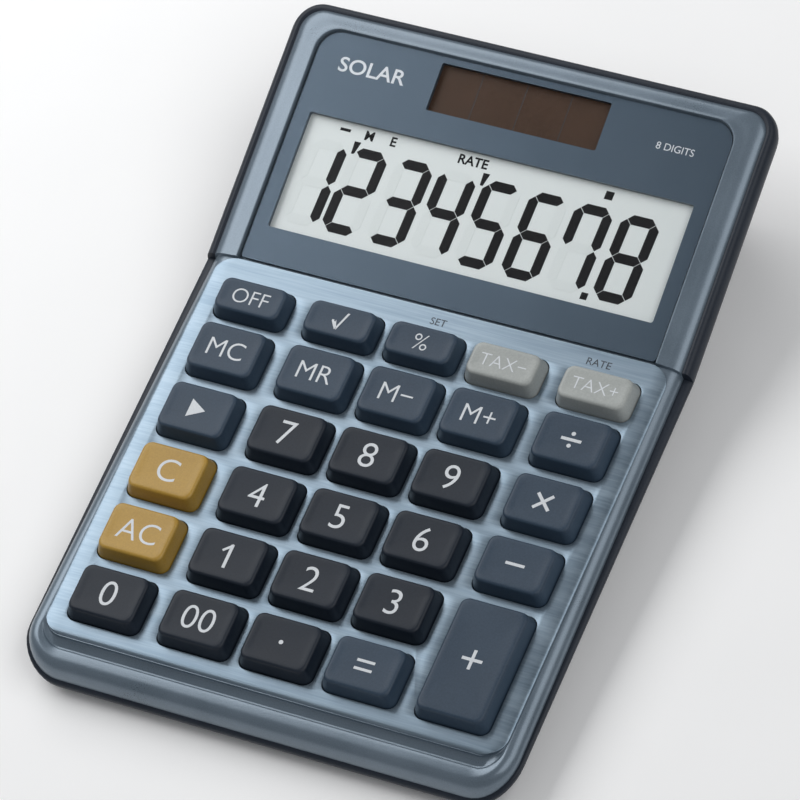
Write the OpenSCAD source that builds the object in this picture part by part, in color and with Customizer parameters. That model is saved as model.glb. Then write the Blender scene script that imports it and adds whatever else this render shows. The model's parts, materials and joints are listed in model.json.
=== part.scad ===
// Solar pocket calculator with a raised display and twenty-nine keys.
// Origin: centre of the footprint, on the surface that the feet stand on.
// +X is to the user's right, +Y towards the display, +Z up. Millimetres.

/* [Case] */
// Width of the case at its widest line
case_w = 103.5; // [102.5:0.5:106]
// Depth of the case, front to back
case_d = 147; // [146.5:0.1:148]
// Height of the key panel above the table, at the front edge
front_h = 10.06; // [10:0.02:10.5]
// Slope of the key panel in degrees
keypad_tilt = 3.08; // [2.8:0.02:3.3]
// Slope of the display in degrees
display_tilt = 14.9; // [14:0.1:16]
// Length of the key panel along its slope
keypad_len = 93.5; // [93:0.1:94]
// Corner radius of the case at the front
front_r = 9; // [7:0.5:11]
// Corner radius of the case at the rear
rear_r = 6; // [5:0.5:8]
// Thickness of the case walls
wall = 2; // [1.8:0.1:2.2]

/* [Keys] */
// Spacing of the three middle columns
column_pitch = 17.35; // [17.2:0.05:17.6]
// Distance of the outer columns from the middle one
outer_column = 36.5; // [36.3:0.05:36.6]
// Distance of the first row from the front edge, along the slope
first_row = 16.5; // [16.4:0.05:16.7]
// Spacing of the rows of full-size keys
row_pitch = 13.9; // [13.8:0.02:13.95]
// Distance of the row of small keys from the front edge
small_row = 84; // [83.9:0.05:84.3]
// Width of a key at its foot
key_w = 15.2; // [14.8:0.1:15.3]
// Depth of a full-size key at its foot
key_d = 11.5; // [11:0.1:11.6]
// Depth of a small key at its foot
small_key_d = 8.4; // [8:0.1:8.5]
// Height of the keys above the face plate
key_h = 3.3; // [2.8:0.1:4]
// How far a key travels when it is pressed
key_travel = 1.2; // [0.8:0.1:1.2]

/* [Display] */
// Width of the display window
window_w = 88.4; // [88:0.1:89]
// Length of the display window along its slope
window_len = 49.2; // [49:0.1:49.4]
// Thickness of the display window
window_t = 1.5; // [1.2:0.1:1.5]
// Width of the liquid crystal glass
glass_w = 86; // [85:0.1:86]
// Length of the liquid crystal glass along the slope
glass_len = 29.5; // [29:0.1:29.5]
// Width of the solar cell
solar_w = 38; // [36:0.1:38]
// Length of the solar cell along the slope
solar_len = 11.2; // [10:0.1:11.2]

/* [Hidden] */

slate = "#5d6d80";
navy = "#2c3542";
aluminium = "#a9b8c9";
smoked = "#3c4858";
board_green = "#3d6b4a";
number_grey = "#33353d";
function_blue = "#4a5568";
yellow = "#d0a24c";
light_grey = "#c9cbc4";

front_y = -case_d / 2;
bend_y = front_y + keypad_len * cos(keypad_tilt);
bend_z = front_h + keypad_len * sin(keypad_tilt);
keypad_slope = tan(keypad_tilt);
display_slope = tan(display_tilt);

// The case splits just above its widest line, which follows the top and dips in front
split_drop = 2.9;
split_dip = 3.2;
dip_run = 9;
seam = 0.1;
band_h = 0.4;
shoulder = 0.35;
top_inset = 0.7;

// Reach of a cut that goes right through a wall, and of one that runs past a face
through = 12;
past = 1;

// The upper shell: rounded sides, a bull nose in front, a rim round the display
side_round = 2.5;
nose_round = 5.8;
rear_round = 3.2;
rim_h = 0.4;
step_front = 7.1;
step_run = 0.1;
nose_drop = 1.6;
nose_wall = 7.6;
front_wall_extra = 0.4;
rear_wall_extra = 0.8;
corner_steps = 5;
profile_steps = 5;

// Keypad stack, measured down from the top of the face plate
plate_t = 0.6;
glue_t = 0.02;
web_t = 1.6;
plate_w = 96.6;
plate_front = 7.3;
plate_rear = 93.3;
plate_r = 4.5;
hole_gap = 0.2;
key_r = 1.8;
play = 0.1;
flange_t = 0.8;
flange_extra_w = 1.4;
flange_extra_d = 1.7;
sheet_t = 0.8;
board_t = 1.2;
web_z = -plate_t - web_t;
flange_z = web_z - play - flange_t;
board_z = -5.6;
board_front = 10.7;

// Heat stakes that hold the board up against the upper shell
stake_r = 1;
stake_head_r = 1.7;
stake_head_h = 0.7;
stake_root = 0.3;
stake_x = (outer_column + column_pitch) / 2;
stake_rows = [23.5, 44.3, 65.1, 86];

// The lower shell
base_z = 1;
base_front_half = 46.5;
base_rear_half = 39.5;
base_front = 2.8;
base_rear = 8;
base_r = 6;
floor_z = base_z + 1.8;

// Case screws, driven from below into bosses of the upper shell
screw_places = [[-34, -66.2], [34, -66.2], [-36, 23], [36, 23], [-32, 59], [32, 59]];
screw_r = 0.95;
screw_len = 5;
screw_head_r = 1.9;
screw_head_h = 1.4;
screw_seat_z = 2.6;
boss_r = 2;
boss_foot_z = 4.2;
boss_root = 0.5;
bore_spare = 0.3;
standoff_r = 2.5;
screw_clear = 0.03;
screw_gap = 0.2;
screw_head_gap = 0.3;

// Feet
foot_places = [[-36, -56], [36, -56], [-31, 50], [31, 50]];
foot_r = 4.5;
foot_depth = 0.6;
foot_gap = 0.1;

// Display stack, measured along and down from the display surface
window_front = 0.4;
window_r = 4.5;
window_front_r = 0.8;
glass_front = 5.2;
glass_gap = 0.3;
glass_t = 2.2;
pane_t = 0.88;
ledge_t = 1.3;
solar_front = 37.5;
solar_t = 1.1;
opening_gap = 0.3;
ledge_z = -window_t - ledge_t;
glass_z = -window_t - glass_gap - glass_t;
reflector_t = 0.3;
holder_under = 0.7;
holder_z = glass_z - reflector_t - holder_under;

$fn = 32;

// Points of an arc, from one angle to another
function arc(cx, cy, r, a0, a1, steps = corner_steps) =
    [for (i = [0 : steps]) let (a = a0 + (a1 - a0) * i / steps)
        [cx + r * cos(a), cy + r * sin(a)]];

// Rounded rectangle, centred on the origin
function round_rect(w, d, r) = concat(
    arc(w / 2 - r, d / 2 - r, r, 0, 90), arc(r - w / 2, d / 2 - r, r, 90, 180),
    arc(r - w / 2, r - d / 2, r, 180, 270), arc(w / 2 - r, r - d / 2, r, 270, 360));

// Outline of the display window: nearly square in front, round behind
function window_outline(w, d, r, front_r) = concat(
    arc(w / 2 - r, d / 2 - r, r, 0, 90), arc(r - w / 2, d / 2 - r, r, 90, 180),
    arc(front_r - w / 2, front_r - d / 2, front_r, 180, 270),
    arc(w / 2 - front_r, front_r - d / 2, front_r, 270, 360));

// A point of a cubic curve through four control points
function cubic(p, t) = pow(1 - t, 3) * p[0] + 3 * pow(1 - t, 2) * t * p[1]
    + 3 * (1 - t) * t * t * p[2] + t * t * t * p[3];

// Side view [y, z] of a point on the key panel, and of a point on the display
function keypad_point(s, h) = [front_y + s * cos(keypad_tilt) - h * sin(keypad_tilt),
    front_h + s * sin(keypad_tilt) + h * cos(keypad_tilt)];
function display_point(t, h) = [bend_y + t * cos(display_tilt) - h * sin(display_tilt),
    bend_z + t * sin(display_tilt) + h * cos(display_tilt)];

// Places its children on the key panel, s along the slope from the front edge
module on_keypad(s = 0, x = 0) {
    translate([x, front_y + s * cos(keypad_tilt), front_h + s * sin(keypad_tilt)])
        rotate([keypad_tilt, 0, 0]) children();
}

// Places its children on the display, t along the slope from the bend
module on_display(t = 0, x = 0) {
    translate([x, bend_y + t * cos(display_tilt), bend_z + t * sin(display_tilt)])
        rotate([display_tilt, 0, 0]) children();
}

module plate(w, d, r, z0, z1) {
    translate([0, 0, z0]) linear_extrude(z1 - z0) polygon(round_rect(w, d, r));
}

// The opening of every key, cut from z0 up to z1
module key_openings(z0, z1) {
    for (key = key_places)
        on_keypad(key[1], key[0])
            plate(key_w + 2 * hole_gap, key[2] + 2 * hole_gap, key_r + hole_gap, z0, z1);
}

module screw_bores(z0, z1, r) {
    for (p = screw_places)
        translate([p[0], p[1], z0]) cylinder(r = r, h = z1 - z0);
}

// Height of the line where the case splits
function split_z(y) = y < bend_y
    ? front_h - split_drop + (y - front_y) * keypad_slope
        - split_dip * pow(max(0, 1 - (y - front_y) / dip_run), 2)
    : bend_z - split_drop + (y - bend_y) * display_slope;

// Height of the top of the upper shell: under the face plate, or on the display's rim
function shell_z(y) = y < bend_y
    ? front_h - (plate_t + glue_t) / cos(keypad_tilt) + (y - front_y) * keypad_slope
    : bend_z + rim_h + (y - bend_y) * display_slope;

// Height of the inside of the upper shell over a place
function ceiling(y) = y < bend_y
    ? front_h + (y - front_y) * keypad_slope + web_z
    : bend_z + (y - bend_y) * display_slope + ledge_z;

// One turn round the case, with half-widths in front, at the bend and behind
function turn_round(front_half, bend_half, rear_half, y0, y1, r0, r1) = concat(
    [[bend_half, bend_y - step_run], [bend_half, bend_y]],
    arc(rear_half - r1, y1 - r1, r1, 0, 90), arc(r1 - rear_half, y1 - r1, r1, 90, 180),
    [[-bend_half, bend_y], [-bend_half, bend_y - step_run]],
    arc(r0 - front_half, y0 + r0, r0, 180, 270), arc(front_half - r0, y0 + r0, r0, 270, 360));

// The turn at the split line, moved inwards and down
function split_ring(side, front, rear, drop) = let (half = case_w / 2 - side)
    [for (p = turn_round(half, half, half, front_y + front, case_d / 2 - rear,
            front_r - side, rear_r - side))
        [p[0], p[1], split_z(p[1]) - drop]];

// The turn at one angle of the upper shell's rounded edge, from 0 upright to 90 level
function edge_ring(angle) = let (
        in = 1 - cos(angle),
        side = top_inset + side_round * in,
        half = case_w / 2 - side,
        flat = turn_round(half, half, half, front_y + top_inset + nose_round * in,
            case_d / 2 - top_inset - rear_round * in, front_r - side, rear_r - side))
    [for (p = flat) let (low = split_z(p[1]))
        [p[0], p[1], low + (shell_z(p[1]) - low) * sin(angle)]];

// The turn round the inside of the upper shell, under its ceiling
function ceiling_ring(front_side, rear_side, front) = let (
        rear_half = case_w / 2 - rear_side,
        flat = turn_round(case_w / 2 - front_side, rear_half, rear_half, front_y + front,
            case_d / 2 - rear_side, front_r - front_side, rear_r - rear_side))
    [for (p = flat) [p[0], p[1], ceiling(p[1])]];

// The turn round the base or the floor, which narrows towards the rear
function base_ring(inset, z) = let (
        flat = turn_round(base_front_half - inset,
            (base_front_half + base_rear_half) / 2 - inset, base_rear_half - inset,
            front_y + base_front + inset, case_d / 2 - base_rear - inset, base_r, base_r))
    [for (p = flat) [p[0], p[1], z]];

// Closed solid through a stack of rings. Each end is closed by level strips, from a
// point on the right to its mirror image on the left.
module loft(rings) {
    n = len(rings[0]);
    last = len(rings) - 1;
    left = 2 * corner_steps + 5;
    ends = concat(
        [for (i = [0 : corner_steps + 1]) [i, i + 1, left - i - 1, left - i]],
        [for (i = [0 : corner_steps]) [left + i, left + i + 1, n - 1 - i, (n - i) % n]]);
    polyhedron(
        points = [for (ring = rings, p = ring) p],
        faces = concat(
            ends,
            [for (k = [0 : last - 1], i = [0 : n - 1]) let (j = (i + 1) % n)
                [k * n + i, (k + 1) * n + i, k * n + j]],
            [for (k = [0 : last - 1], i = [0 : n - 1]) let (j = (i + 1) % n)
                [k * n + j, (k + 1) * n + i, (k + 1) * n + j]],
            [for (end = ends) [for (i = [3 : -1 : 0]) last * n + end[i]]]));
}

// Painted upper shell: key web, display ledge, screw bosses and heat stakes
module top_case() {
    inner = top_inset + wall;
    overcut = 0.05;
    opening_r = 0.5;
    color(slate) {
        difference() {
            union() {
                difference() {
                    loft([for (i = [0 : profile_steps]) edge_ring(90 * i / profile_steps)]);
                    loft([split_ring(inner, inner + front_wall_extra, inner, overcut),
                        ceiling_ring(inner + wall, inner + rear_wall_extra, nose_wall)]);
                    // step down to the nose in front of the face plate
                    on_keypad() translate([-case_w, -case_d, -nose_drop])
                        cube([2 * case_w, case_d + step_front, case_d]);
                    // seat of the display window
                    on_display(window_front + window_len / 2) translate([0, 0, -window_t])
                        linear_extrude(case_d) polygon(window_outline(
                            window_w + opening_gap, window_len + opening_gap,
                            window_r, window_front_r));
                    // openings over the glass and over the solar cell
                    on_display(glass_front + glass_len / 2)
                        plate(glass_w + 2 * opening_gap, glass_len + 2 * opening_gap, opening_r,
                            -through, through);
                    on_display(solar_front + solar_len / 2)
                        plate(solar_w + 2 * opening_gap, solar_len + 2 * opening_gap, opening_r,
                            -through, through);
                    key_openings(web_z - past, plate_t);
                }
                for (p = screw_places)
                    translate([p[0], p[1], boss_foot_z])
                        cylinder(r = boss_r, h = ceiling(p[1]) + boss_root - boss_foot_z);
                for (s = stake_rows, x = [-stake_x, stake_x])
                    on_keypad(s, x) {
                        translate([0, 0, board_z - board_t])
                            cylinder(r = stake_r, h = web_z + stake_root - board_z + board_t);
                        translate([0, 0, board_z - board_t - stake_head_h])
                            cylinder(r = stake_head_r, h = stake_head_h);
                    }
            }
            screw_bores(boss_foot_z - past, screw_seat_z + screw_len + bore_spare, screw_r + screw_clear);
        }
    }
}

// Brushed aluminium plate that faces the keypad, its long edges rolled down
module face_plate() {
    len = plate_rear - plate_front;
    roll_w = 3.5;
    roll_h = 0.4;
    half = plate_w / 2;
    right_roll = [for (i = [0 : corner_steps]) let (a = 90 * i / corner_steps)
        [half - roll_w * (1 - sin(a)), roll_h * (cos(a) - 1)]];
    left_roll = [for (i = [corner_steps : -1 : 0]) [-right_roll[i][0], right_roll[i][1]]];
    color(aluminium) difference() {
        on_keypad(plate_front + len / 2) intersection() {
            plate(plate_w, len, plate_r, -plate_t, 0);
            translate([0, case_d / 2, 0]) rotate([90, 0, 0]) linear_extrude(case_d)
                polygon(concat(right_roll, [[half, -plate_t], [-half, -plate_t]], left_roll));
        }
        key_openings(-2 * plate_t, plate_t);
    }
}

// Window over the display and the solar cell
module display_window() {
    color(smoked) on_display(window_front + window_len / 2) translate([0, 0, -window_t])
        linear_extrude(window_t)
            polygon(window_outline(window_w, window_len, window_r, window_front_r));
}

// Dark lower shell: tapered walls, flat base, screw standoffs and foot pockets
module bottom_case() {
    inner = shoulder + wall;
    color(navy) difference() {
        union() {
            loft([base_ring(0, base_z), split_ring(0, 0, 0, band_h),
                split_ring(shoulder, shoulder, shoulder, seam),
                split_ring(inner, inner, inner, seam), base_ring(wall, floor_z)]);
            for (p = screw_places)
                translate([p[0], p[1], base_z + boss_root])
                    cylinder(r = standoff_r, h = boss_foot_z - base_z - boss_root);
        }
        screw_bores(0, boss_foot_z + past, screw_r + screw_gap);
        screw_bores(0, screw_seat_z, screw_head_r + screw_head_gap);
        for (p = foot_places)
            translate([p[0], p[1], 0]) cylinder(r = foot_r + foot_gap, h = base_z + foot_depth);
    }
}

// Silicone sheet with one hollow dome under each key
module rubber_keypad() {
    width = 88;
    len = 79.8;
    sheet_r = 2;
    dome_foot_r = 3.4;
    dome_top_r = 2.2;
    dome_wall = 0.6;
    dome_root = 0.1;
    under_key = 0.05;
    stake_gap = 0.3;
    sheet_top = board_z + sheet_t;
    dome_top = flange_z - under_key;
    color("silver") difference() {
        union() {
            on_keypad(board_front + len / 2) plate(width, len, sheet_r, board_z, sheet_top);
            for (d = dome_places)
                on_keypad(d[1], d[0]) translate([0, 0, sheet_top - dome_root])
                    cylinder(r1 = dome_foot_r, r2 = dome_top_r, h = dome_top - sheet_top + dome_root);
        }
        for (d = dome_places)
            on_keypad(d[1], d[0]) translate([0, 0, board_z - dome_root])
                cylinder(r1 = dome_foot_r - dome_wall, r2 = dome_top_r - dome_wall,
                    h = dome_top - board_z - dome_wall);
        for (s = stake_rows, x = [-stake_x, stake_x])
            on_keypad(s, x) translate([0, 0, board_z - past])
                cylinder(r = stake_r + stake_gap, h = sheet_t + 2 * past);
    }
}

// Circuit board, hung from the heat stakes
module main_board() {
    width = 86;
    len = 81.3;
    corner_r = 1.5;
    stake_gap = 0.03;
    color(board_green) difference() {
        on_keypad(board_front + len / 2) plate(width, len, corner_r, board_z - board_t, board_z);
        for (s = stake_rows, x = [-stake_x, stake_x])
            on_keypad(s, x) translate([0, 0, board_z - board_t - past])
                cylinder(r = stake_r + stake_gap, h = board_t + 2 * past);
    }
}

// Epoxy drop over the chip, on the underside of the board
module chip_cover() {
    drop_r = 6;
    drop_h = 1.8;
    chip_s = 68;
    ball_r = (drop_r * drop_r + drop_h * drop_h) / (2 * drop_h);
    color("black") on_keypad(chip_s) translate([0, 0, board_z - board_t]) intersection() {
        translate([0, 0, ball_r - drop_h]) sphere(r = ball_r);
        translate([0, 0, -2 * drop_h]) cylinder(r = 2 * drop_r, h = 2 * drop_h);
    }
}

// Storage capacitor, lying against the underside of the board
module capacitor() {
    can_r = 2;
    can_len = 6;
    can_place = [20, 80];
    gap = 0.05;
    color("dimgray") on_keypad(can_place[1], can_place[0])
        translate([-can_len / 2, 0, board_z - board_t - can_r - gap])
            rotate([0, 90, 0]) cylinder(r = can_r, h = can_len);
}

// Button cell, a little below the board
battery_place = [-17.5, 72];
battery_r = 5.8;
battery_h = 3.1;
battery_gap = 0.1;
battery_z = board_z - board_t - battery_gap - battery_h;

module battery() {
    color("gainsboro") on_keypad(battery_place[1], battery_place[0])
        translate([0, 0, battery_z]) cylinder(r = battery_r, h = battery_h);
}

// Sprung steel strap that holds the cell against the board
module battery_clip() {
    strap_t = 0.25;
    strap_w = 6;
    side_gap = 0.3;
    reach = battery_r + side_gap;
    color("silver") on_keypad(battery_place[1], battery_place[0]) {
        translate([-reach - strap_t, -strap_w / 2, battery_z - strap_t])
            cube([2 * (reach + strap_t), strap_w, strap_t]);
        for (side = [-1, 1])
            translate([side * (reach + strap_t / 2) - strap_t / 2, -strap_w / 2, battery_z - strap_t])
                cube([strap_t, strap_w, battery_h + strap_t + battery_gap]);
    }
}

// Liquid crystal cell: two panes, the lower one longer in front for its contacts
module lcd_glass() {
    ledge = 2.4;
    color("#dfe8e2") on_display(glass_front) {
        translate([-glass_w / 2, 0, glass_z]) cube([glass_w, glass_len, pane_t]);
        translate([-glass_w / 2, ledge, glass_z]) cube([glass_w, glass_len - ledge, glass_t]);
    }
}

module lcd_reflector() {
    color("white") on_display(glass_front) translate([-glass_w / 2, 0, glass_z - reflector_t])
        cube([glass_w, glass_len, reflector_t]);
}

// Frame that clips the glass up against the display ledge
module lcd_holder() {
    rim = 2;
    margin = 4;
    notch_w = 70;
    notch_h = 4;
    corner_r = 1;
    glass_room = 0.2;
    boss_gap = 0.3;
    color("whitesmoke") difference() {
        on_display(glass_front + glass_len / 2) difference() {
            plate(glass_w + 2 * rim, glass_len + 2 * rim, corner_r, holder_z, ledge_z);
            plate(glass_w + glass_room, glass_len + glass_room, 2 * glass_room,
                glass_z - reflector_t, past);
            plate(glass_w - 2 * margin, glass_len - 2 * margin, corner_r, holder_z - past, past);
            // notch in front, where the ribbon leaves the glass
            translate([-notch_w / 2, -glass_len / 2 - 2 * rim, glass_z])
                cube([notch_w, 3 * rim, notch_h]);
        }
        // room for the bosses of the middle screws
        for (p = screw_places)
            translate([p[0], p[1], 0]) cylinder(r = boss_r + boss_gap, h = 2 * through);
    }
}

// Flat ribbon, from the ledge of the glass down to the rear edge of the board
module lcd_ribbon() {
    film = 0.15;
    steps = 12;
    width = 64;
    lift = 0.02;
    board_s = 90.8;
    lap = 2;
    overhang = 0.3;
    board_pull = 4;
    glass_pull = 3;
    glass_end = display_point(glass_front + lap, glass_z + pane_t + lift);
    edge = display_point(glass_front - overhang, glass_z + pane_t + lift);
    board_end = keypad_point(board_s, board_z + lift);
    path = [board_end, board_end + board_pull * [cos(keypad_tilt), sin(keypad_tilt)],
        edge - glass_pull * [cos(display_tilt), sin(display_tilt)], edge];
    low = concat([for (i = [0 : steps]) cubic(path, i / steps)], [glass_end]);
    high = [for (i = [len(low) - 1 : -1 : 0]) low[i] + [0, film]];
    color("orange") translate([-width / 2, 0, 0]) rotate([90, 0, 90])
        linear_extrude(width) polygon(concat(low, high));
}

module solar_cell() {
    color("#3a241c") on_display(solar_front) translate([-solar_w / 2, 0, -window_t - glass_gap - solar_t])
        cube([solar_w, solar_len, solar_t]);
}

// One straight length of wire, with a slightly fuller ball at its start
module wire(a, b, r, ball_r) {
    v = b - a;
    translate(a) rotate([0, acos(v[2] / norm(v)), atan2(v[1], v[0])]) cylinder(r = r, h = norm(v));
    translate(a) sphere(r = ball_r);
}

// Two insulated wires from the solar cell to the underside of the board
module solar_leads() {
    wire_r = 0.45;
    ball_r = 0.5;
    wire_x = 3;
    wire_gap = 0.06;
    under = ball_r + wire_gap;
    path = [display_point(solar_front + solar_len / 2, -window_t - glass_gap - solar_t - under),
        display_point(36.8, -9.9), display_point(5.7, -10.3),
        keypad_point(86.7, board_z - board_t - under)];
    color("firebrick") for (x = [-wire_x, wire_x], i = [0 : 2])
        wire([x, path[i][0], path[i][1]], [x, path[i + 1][0], path[i + 1][1]], wire_r, ball_r);
}

// Pan-head screws with a cross recess
module case_screws() {
    slot_len = 2.4;
    slot_w = 0.5;
    slot_depth = 0.6;
    color("dimgray") for (p = screw_places)
        translate([p[0], p[1], screw_seat_z]) difference() {
            union() {
                translate([0, 0, -screw_head_h]) cylinder(r = screw_head_r, h = screw_head_h);
                cylinder(r = screw_r, h = screw_len);
            }
            for (turn = [0, 90]) rotate([0, 0, turn])
                translate([-slot_len / 2, -slot_w / 2, -screw_head_h - past])
                    cube([slot_len, slot_w, past + slot_depth]);
        }
}

module rubber_feet() {
    color("#1c1c1e") for (p = foot_places)
        translate([p[0], p[1], 0]) cylinder(r = foot_r, h = base_z + foot_depth);
}

function column(n) = n == 0 ? -outer_column : n == 4 ? outer_column : (n - 2) * column_pitch;
function row(n) = n == 5 ? small_row : first_row + n * row_pitch;
tall_key_d = row_pitch + key_d;
key_places = concat(
    [for (c = [0 : 4]) [column(c), row(5), small_key_d]],
    [for (c = [0 : 4], r = [2 : 4]) [column(c), row(r), key_d]],
    [for (c = [0 : 3], r = [0 : 1]) [column(c), row(r), key_d]],
    [[column(4), (row(0) + row(1)) / 2, tall_key_d]]);
dome_places = [for (c = [0 : 4], r = [0 : 5]) [column(c), row(r)]];

// A key: tapered cap with a softened top edge, on a flange that sits under the web
module key(c, s, d, tint) {
    taper = 1.3;
    edge = 0.6;
    foot_h = 0.2;
    slice = 0.1;
    top = taper + 2 * edge;
    color(tint) on_keypad(s, column(c)) {
        hull() {
            plate(key_w, d, key_r, web_z - play - flange_t / 2, foot_h);
            plate(key_w - taper, d - taper, key_r, key_h - edge - slice, key_h - edge);
            plate(key_w - top, d - top, key_r, key_h - slice, key_h);
        }
        plate(key_w + flange_extra_w, d + flange_extra_d, key_r, flange_z, flange_z + flange_t);
    }
}

module key_off() { key(0, row(5), small_key_d, function_blue); }
module key_root() { key(1, row(5), small_key_d, function_blue); }
module key_percent() { key(2, row(5), small_key_d, function_blue); }
module key_tax_minus() { key(3, row(5), small_key_d, light_grey); }
module key_tax_plus() { key(4, row(5), small_key_d, light_grey); }
module key_mc() { key(0, row(4), key_d, function_blue); }
module key_mr() { key(1, row(4), key_d, function_blue); }
module key_m_minus() { key(2, row(4), key_d, function_blue); }
module key_m_plus() { key(3, row(4), key_d, function_blue); }
module key_divide() { key(4, row(4), key_d, function_blue); }
module key_shift() { key(0, row(3), key_d, function_blue); }
module key_7() { key(1, row(3), key_d, number_grey); }
module key_8() { key(2, row(3), key_d, number_grey); }
module key_9() { key(3, row(3), key_d, number_grey); }
module key_multiply() { key(4, row(3), key_d, function_blue); }
module key_c() { key(0, row(2), key_d, yellow); }
module key_4() { key(1, row(2), key_d, number_grey); }
module key_5() { key(2, row(2), key_d, number_grey); }
module key_6() { key(3, row(2), key_d, number_grey); }
module key_minus() { key(4, row(2), key_d, function_blue); }
module key_ac() { key(0, row(1), key_d, yellow); }
module key_1() { key(1, row(1), key_d, number_grey); }
module key_2() { key(2, row(1), key_d, number_grey); }
module key_3() { key(3, row(1), key_d, number_grey); }
module key_plus() { key(4, (row(0) + row(1)) / 2, tall_key_d, function_blue); }
module key_0() { key(0, row(0), key_d, number_grey); }
module key_00() { key(1, row(0), key_d, number_grey); }
module key_point() { key(2, row(0), key_d, number_grey); }
module key_equals() { key(3, row(0), key_d, function_blue); }

top_case();
face_plate();
display_window();
bottom_case();
rubber_keypad();
main_board();
chip_cover();
capacitor();
battery();
battery_clip();
lcd_glass();
lcd_reflector();
lcd_holder();
lcd_ribbon();
solar_cell();
solar_leads();
case_screws();
rubber_feet();
key_off();
key_root();
key_percent();
key_tax_minus();
key_tax_plus();
key_mc();
key_mr();
key_m_minus();
key_m_plus();
key_divide();
key_shift();
key_7();
key_8();
key_9();
key_multiply();
key_c();
key_4();
key_5();
key_6();
key_minus();
key_ac();
key_1();
key_2();
key_3();
key_plus();
key_0();
key_00();
key_point();
key_equals();
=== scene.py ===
import json
import math

import bmesh
import bpy
from mathutils import Matrix, Vector


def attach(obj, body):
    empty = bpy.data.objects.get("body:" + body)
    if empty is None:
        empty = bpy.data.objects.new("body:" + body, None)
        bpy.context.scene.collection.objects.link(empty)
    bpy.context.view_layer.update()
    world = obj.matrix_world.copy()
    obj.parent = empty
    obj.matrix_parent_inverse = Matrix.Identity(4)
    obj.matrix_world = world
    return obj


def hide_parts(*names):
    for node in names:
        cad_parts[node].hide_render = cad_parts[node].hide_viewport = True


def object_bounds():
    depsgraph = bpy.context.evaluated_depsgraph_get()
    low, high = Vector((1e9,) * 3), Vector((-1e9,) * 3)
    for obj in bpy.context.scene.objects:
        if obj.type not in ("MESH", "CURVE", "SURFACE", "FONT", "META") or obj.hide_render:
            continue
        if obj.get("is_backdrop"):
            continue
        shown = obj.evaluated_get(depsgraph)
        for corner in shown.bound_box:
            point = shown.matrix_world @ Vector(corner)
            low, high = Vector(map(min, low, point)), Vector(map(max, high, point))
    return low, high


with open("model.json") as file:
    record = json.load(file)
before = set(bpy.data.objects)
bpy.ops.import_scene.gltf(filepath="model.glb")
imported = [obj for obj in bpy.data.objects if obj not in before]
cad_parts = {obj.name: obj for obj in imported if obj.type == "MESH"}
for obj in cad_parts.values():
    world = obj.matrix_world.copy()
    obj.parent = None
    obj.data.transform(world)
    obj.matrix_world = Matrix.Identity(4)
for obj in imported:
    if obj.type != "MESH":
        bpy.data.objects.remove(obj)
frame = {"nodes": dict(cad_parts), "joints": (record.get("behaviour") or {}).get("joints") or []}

mm = 0.001
scene = bpy.context.scene
cad_low, cad_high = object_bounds()


# ---------------------------------------------------------------------------
# Camera: a long lens that looks down from the front right. The object leans a
# little to the left in its frame.
# ---------------------------------------------------------------------------
camera_azimuth = math.radians(40.08)
camera_elevation = math.radians(54.34)
camera_roll = math.radians(-19.63)
camera_distance = 1160.9 * mm
camera_target = Vector((-0.925, -0.23, 12.5)) * mm

back = Vector((math.sin(camera_azimuth) * math.cos(camera_elevation),
               -math.cos(camera_azimuth) * math.cos(camera_elevation),
               math.sin(camera_elevation)))
level = Vector((math.cos(camera_azimuth), math.sin(camera_azimuth), 0))
upright = back.cross(level)
right = level * math.cos(camera_roll) + upright * math.sin(camera_roll)
up = upright * math.cos(camera_roll) - level * math.sin(camera_roll)

camera = bpy.data.objects.new("camera", bpy.data.cameras.new("camera"))
camera.data.lens = 274.4
camera.data.sensor_width = 36
camera.matrix_world = Matrix.Translation(camera_target + back * camera_distance) @ Matrix(
    (right, up, back)).transposed().to_4x4()
scene.collection.objects.link(camera)
scene.camera = camera


# ---------------------------------------------------------------------------
# Lower shell: moulded dark blue-grey plastic with a fine spark-eroded grain.
# Its walls lean out from a flat base to the line where the case splits, which
# runs level with the top of the case all round and dips under the front edge.
# ---------------------------------------------------------------------------
key_axis = Vector(frame["joints"][0]["axis"])
keypad_tilt = math.atan2(key_axis.y, -key_axis.z)
display_tilt = math.radians(14.9)
half_w = cad_high.x / mm
front_y = cad_low.y / mm
rear_y = cad_high.y / mm


def top_of(node, tilt):
    """How far a node reaches along the normal of a slope, in millimetres."""
    return max(v.co.z * math.cos(tilt) - v.co.y * math.sin(tilt)
               for v in frame["nodes"][node].data.vertices) / mm


plate_reach = top_of("face_plate", keypad_tilt)
window_reach = top_of("display_window", display_tilt)
front_z = (plate_reach + front_y * math.sin(keypad_tilt)) / math.cos(keypad_tilt)
bend_y = ((window_reach / math.cos(display_tilt) - plate_reach / math.cos(keypad_tilt))
          / (math.tan(keypad_tilt) - math.tan(display_tilt)))
bend_z = front_z + (bend_y - front_y) * math.tan(keypad_tilt)

corner_steps = 10
step_run = 0.1
front_r = 9
rear_r = 6
split_drop = 2.9
split_dip = 3.2
dip_run = 9
base_front_half = 46.5
base_rear_half = 39.5
base_front_in = 2.8
base_rear_in = 8
base_r = 6


def arc(cx, cy, r, start, end):
    """Points of an arc, angles in degrees."""
    angles = [math.radians(start + (end - start) * i / corner_steps)
              for i in range(corner_steps + 1)]
    return [(cx + r * math.cos(a), cy + r * math.sin(a)) for a in angles]


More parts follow.
